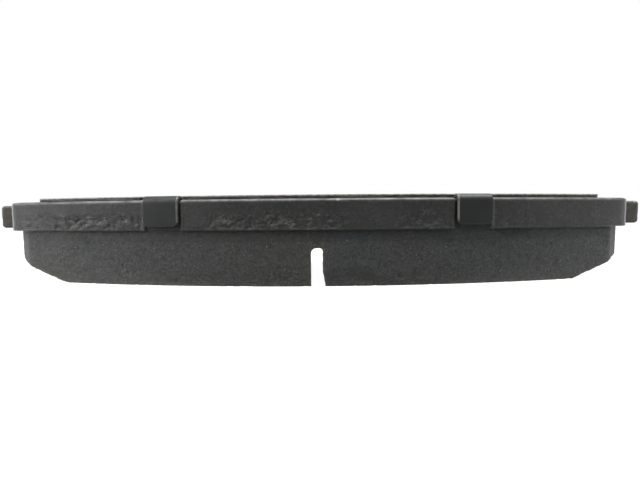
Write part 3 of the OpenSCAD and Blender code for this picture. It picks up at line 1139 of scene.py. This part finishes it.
def set_camera():
    """A low camera that looks squarely at the pad's outer edge from close by."""
    data = bpy.data.cameras.new("camera")
    data.lens = CAMERA_LENS
    data.sensor_width = 36.0
    data.clip_start = 0.005
    data.clip_end = 20.0
    turn, tilt, roll = (math.radians(a) for a in (CAMERA_TURN, CAMERA_TILT, CAMERA_ROLL))
    ahead = Vector((math.sin(turn) * math.cos(tilt), math.cos(turn) * math.cos(tilt), math.sin(tilt)))
    level = Vector((math.cos(turn), -math.sin(turn), 0))
    up = level.cross(ahead)
    side = math.cos(roll) * level + math.sin(roll) * up
    top = -math.sin(roll) * level + math.cos(roll) * up
    camera = bpy.data.objects.new("camera", data)
    bpy.context.scene.collection.objects.link(camera)
    place = Vector((CAMERA_SIDE, CROWN_Y - CAMERA_BACK, CAMERA_HEIGHT)) * MM
    axes = Matrix((side, top, -ahead)).transposed()
    camera.matrix_world = Matrix.Translation(place) @ axes.to_4x4()
    bpy.context.scene.camera = camera


def add_light(name, place, aim, size, power):
    """A soft rectangular lamp, with its place and aim in millimetres and its power in watts."""
    data = bpy.data.lights.new(name, "AREA")
    data.shape = "RECTANGLE"
    data.size, data.size_y = (s * MM for s in size)
    data.energy = power
    lamp = bpy.data.objects.new(name, data)
    bpy.context.scene.collection.objects.link(lamp)
    lamp.location = Vector(place) * MM
    lamp.rotation_euler = (Vector(aim) * MM - lamp.location).to_track_quat("-Z", "Y").to_euler()


def plain_material(name, grey, glow):
    """A matt grey material, which also glows white."""
    material = bpy.data.materials.new(name)
    material.use_nodes = True
    shader = material.node_tree.nodes["Principled BSDF"]
    shader.inputs["Base Color"].default_value = (grey, grey, grey, 1.0)
    shader.inputs["Roughness"].default_value = 0.9
    shader.inputs["Emission Color"].default_value = (1.0, 1.0, 1.0, 1.0)
    shader.inputs["Emission Strength"].default_value = glow
    return material


# Half the side of the stage's sheets in metres, and the height of the top one in millimetres
FLOOR_REACH = 4.0
FLOOR_Z = -0.04


def add_floor(name, z, material, front=-FLOOR_REACH):
    """A wide flat sheet of the stage, at z in millimetres, which starts at front, in metres."""
    reach = FLOOR_REACH
    corners = [(-reach, front), (reach, front), (reach, reach), (-reach, reach)]
    mesh = bpy.data.meshes.new(name)
    mesh.from_pydata([(x, y, z * MM) for x, y in corners], [], [(0, 1, 2, 3)])
    mesh.materials.append(material)
    floor = bpy.data.objects.new(name, mesh)
    bpy.context.scene.collection.objects.link(floor)
    return floor


# The room's light from front to back, and its bright end behind the pad: from one Y direction to another,
# from one strength to another
ROOM_LIGHT = (-0.9, 0.6, 0.105, 0.42)
BACK_GLOW = (0.76, 0.90, 0.0, 0.85)


def set_world():
    """A white room: seen as white, and lighting the pad less from its front than from its back."""
    world = bpy.data.worlds.new("room")
    world.use_nodes = True
    bpy.context.scene.world = world
    tree = world.node_tree
    tree.nodes.clear()
    make = tree.nodes.new
    split = make("ShaderNodeSeparateXYZ")
    tree.links.new(make("ShaderNodeTexCoord").outputs["Generated"], split.inputs[0])
    total = make("ShaderNodeMath")
    for socket, levels_of_light in zip(total.inputs, (ROOM_LIGHT, BACK_GLOW)):
        ramp = make("ShaderNodeMapRange")
        tree.links.new(split.outputs["Y"], ramp.inputs["Value"])
        for name, number in zip(("From Min", "From Max", "To Min", "To Max"), levels_of_light):
            ramp.inputs[name].default_value = number
        tree.links.new(ramp.outputs[0], socket)
    light = make("ShaderNodeBackground")
    seen = make("ShaderNodeBackground")
    out = make("ShaderNodeOutputWorld")
    tree.links.new(total.outputs[0], light.inputs["Strength"])
    light.inputs["Color"].default_value = (0.97, 0.99, 1.0, 1.0)
    seen.inputs["Color"].default_value = (1.0, 1.0, 1.0, 1.0)
    seen.inputs["Strength"].default_value = 1.0
    mix = make("ShaderNodeMixShader")
    tree.links.new(make("ShaderNodeLightPath").outputs["Is Camera Ray"], mix.inputs[0])
    tree.links.new(light.outputs[0], mix.inputs[1])
    tree.links.new(seen.outputs[0], mix.inputs[2])
    tree.links.new(mix.outputs[0], out.inputs["Surface"])


def build_stage():
    """Floor, room, lamps and camera. The floor is seen white, lights the pad dimly and shines behind it."""
    seen = add_floor("floor", FLOOR_Z, plain_material("floor_white", 0.25, 0.98))
    seen.visible_diffuse = False
    seen.visible_glossy = False
    bounce = add_floor("floor_bounce", FLOOR_Z - 0.05, plain_material("floor_grey", 0.35, 0.05))
    bounce.visible_camera = False
    shine_front = (CROWN_Y + 2) * MM
    shine = add_floor("floor_shine", FLOOR_Z - 0.02, plain_material("floor_shine", 0.85, 1.1), shine_front)
    shine.visible_camera = False
    shine.visible_diffuse = False
    set_world()
    add_light("lamp_left", (-350, -140, 140), (0, -10, 8), (240, 260), 1.08)
    add_light("lamp_right", (330, -120, 120), (0, -10, 8), (200, 220), 0.25)
    add_light("lamp_top", (40, -80, 320), (0, -10, 10), (460, 240), 2.0)
    set_camera()
    bpy.context.scene.view_settings.view_transform = "Standard"


def build_shim():
    """The four layers of the shim, each from the top of the one below."""
    coat = rubber_finish("shim_rubber", (0.008, 0.008, 0.008), (0.020, 0.019, 0.017))
    damping = rubber_finish("shim_damping", (0.006, 0.005, 0.005), (0.016, 0.013, 0.010))
    layers = (
        ("shim_coat", "shim_coat_sheet", "shim_rubber", coat, 0.12, 0.16, 101, FINE_RIM),
        ("shim_core", "shim_core_sheet", "shim_steel", core_finish(), 0.03, 0.10, 107, FINE_RIM),
        ("shim_damping_layer", "shim_damping_sheet", "shim_damping", damping, 0.12, 0.18, 113, FINE_RIM),
        ("shim_cover", "shim_cover_sheet", "shim_paint", cover_finish(), 0.0, 0.07, 127, COVER_RIM),
    )
    low = 0.0
    for node, name, slot, material, recess, wander, seed, rim in layers:
        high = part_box(node)[1].z / MM - SHIM_LOW
        build_sheet(name, low, high, recess, wander, seed, slot, material, node, rim)
        low = high


def build_pad():
    """Every piece of the pad."""
    build_plate(paint_finish())
    build_film(adhesive_finish())
    build_underlayer(lining_finish("underlayer", 0.5))
    build_friction(lining_finish("friction", 1.0))


build_pad()
build_shim()
build_stage()
